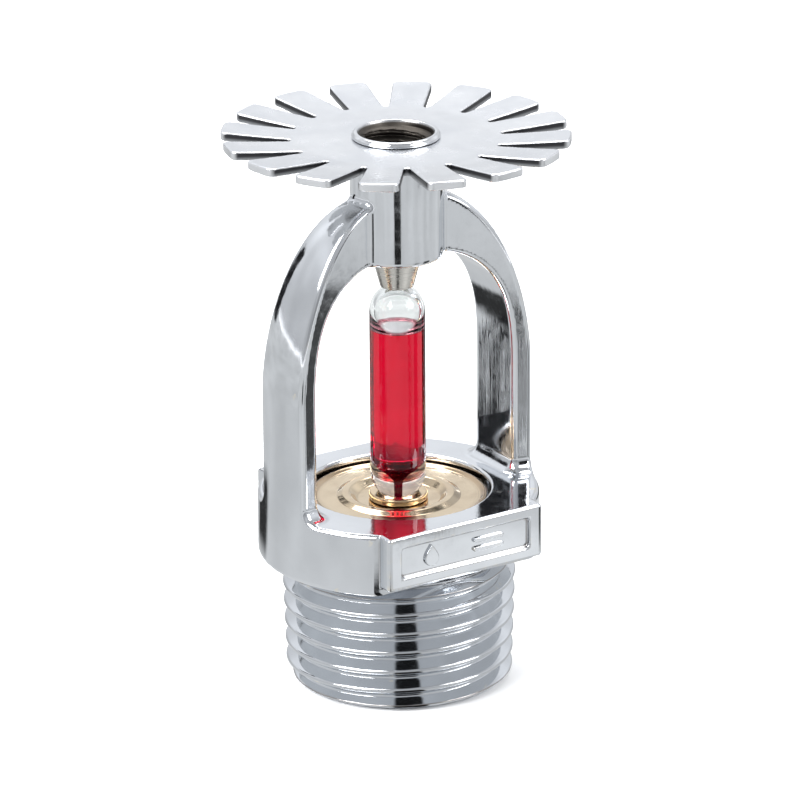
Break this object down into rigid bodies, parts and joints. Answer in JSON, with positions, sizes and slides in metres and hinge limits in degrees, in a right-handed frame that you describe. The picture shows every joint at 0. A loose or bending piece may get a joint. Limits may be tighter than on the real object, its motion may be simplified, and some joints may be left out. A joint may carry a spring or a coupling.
{
  "type": "fire sprinkler head",
  "caption": "Pendent glass-bulb fire sprinkler head with a two-arm frame, slotted deflector, compression screw, valve stack and tapered pipe thread.",
  "frame": {"origin": "centre of the inlet end face, at the bottom of the pipe thread", "axes": "+Z along the sprinkler axis from the inlet to the deflector; X through the two frame arms; wrench faces along -Y and +Y"},
  "size_m": [0.0308, 0.0308, 0.051],
  "materials": {
    "chrome_frame": "bright chrome plate",
    "chrome_deflector": "chrome plate on stamped sheet",
    "screw_metal": "nickelled brass, machined",
    "bulb_glass": "clear polished glass",
    "red_liquid": "clear red liquid",
    "seat_brass": "machined brass",
    "cap_brass": "polished pale brass",
    "spring_steel": "spring steel",
    "ptfe": "PTFE film"
  },
  "bodies": {
    "frame": {"frame": "chrome_frame", "deflector": "chrome_deflector"},
    "bulb": {"bulb_glass": "bulb_glass", "bulb_liquid": "red_liquid"},
    "screw": {"compression_screw": "screw_metal"},
    "valve": {"bulb_seat": "seat_brass", "pip_cap": "cap_brass", "disc_spring": "spring_steel", "ptfe_film_upper": "ptfe", "ptfe_film_lower": "ptfe"}
  },
  "joints": [
    {"name": "bulb_lift", "type": "slide", "parent": "frame", "child": "bulb", "axis": [0, 0, 1], "range_m": [0, 0.003]},
    {"name": "screw_turn", "type": "hinge", "parent": "bulb", "child": "screw", "pos_m": [0, 0, 0.042], "axis": [0, 0, 1], "range_deg": [0, 1080]},
    {"name": "valve_lift", "type": "slide", "parent": "frame", "child": "valve", "axis": [0, 0, 1], "range_m": [0, 0.003]}
  ],
  "couplings": [
    {"joint": "screw_turn", "follows": "bulb_lift", "rad_per_m": 6283.2},
    {"joint": "valve_lift", "follows": "bulb_lift", "ratio": 1}
  ]
}
